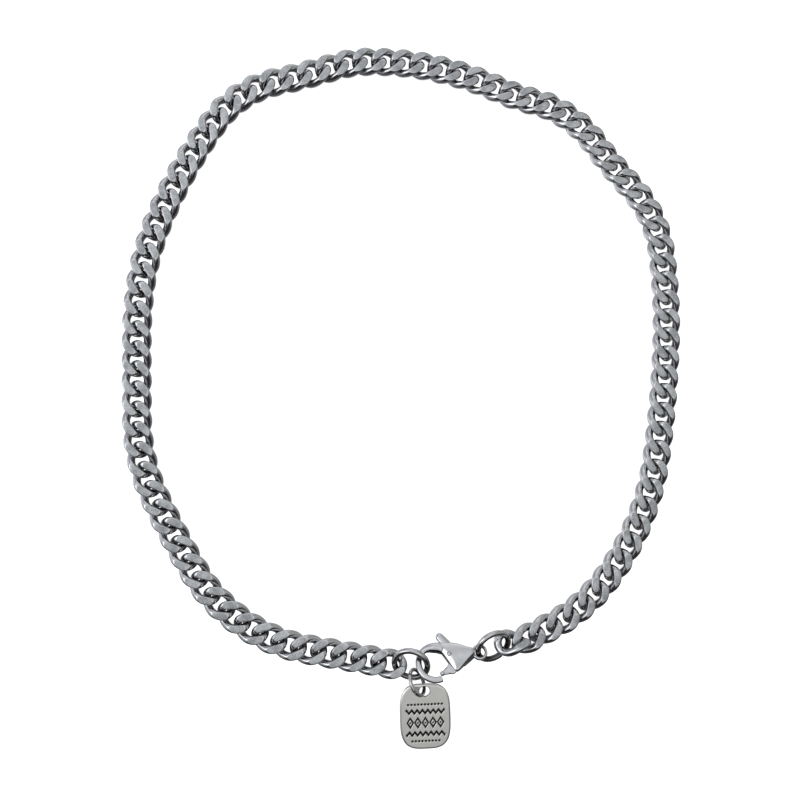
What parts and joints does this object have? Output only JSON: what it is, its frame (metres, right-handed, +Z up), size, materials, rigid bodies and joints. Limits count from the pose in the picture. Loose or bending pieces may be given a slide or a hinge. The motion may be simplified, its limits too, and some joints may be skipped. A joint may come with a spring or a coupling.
{
  "type": "chain choker",
  "caption": "Closed curb chain choker lying flat in a loop, with jump rings, a lobster clasp whose sprung lever opens, and a small plain engraved tag.",
  "frame": {"origin": "on the surface that the choker lies on, under the middle of its box, inside the neck loop", "axes": "+Y from the clasp and tag across the loop to its far side, +X to the right seen from above, +Z up from the surface"},
  "size_m": [0.125, 0.1558, 0.0059],
  "materials": {
    "chain_steel": "polished, with ground satin facets",
    "ring_steel": "polished round wire",
    "tag_steel": "fine satin, engraved, with a polished rim",
    "clasp_steel": "polished casting"
  },
  "bodies": {
    "choker": {"chain_left": "chain_steel", "chain_right": "chain_steel", "end_ring": "ring_steel", "clasp_ring": "ring_steel", "tag_ring": "ring_steel", "tag": "tag_steel", "clasp_body": "clasp_steel", "clasp_rivet": "clasp_steel"},
    "lever": {"clasp_lever": "clasp_steel"}
  },
  "joints": [
    {"name": "lever_pivot", "type": "hinge", "parent": "choker", "child": "lever", "pos_m": [0.00745, -0.05796, 0.00299], "axis": [-0.0633, 0.4807, 0.8746], "range_deg": [-25, 0], "stiffness_Nm_per_rad": 0.01}
  ]
}
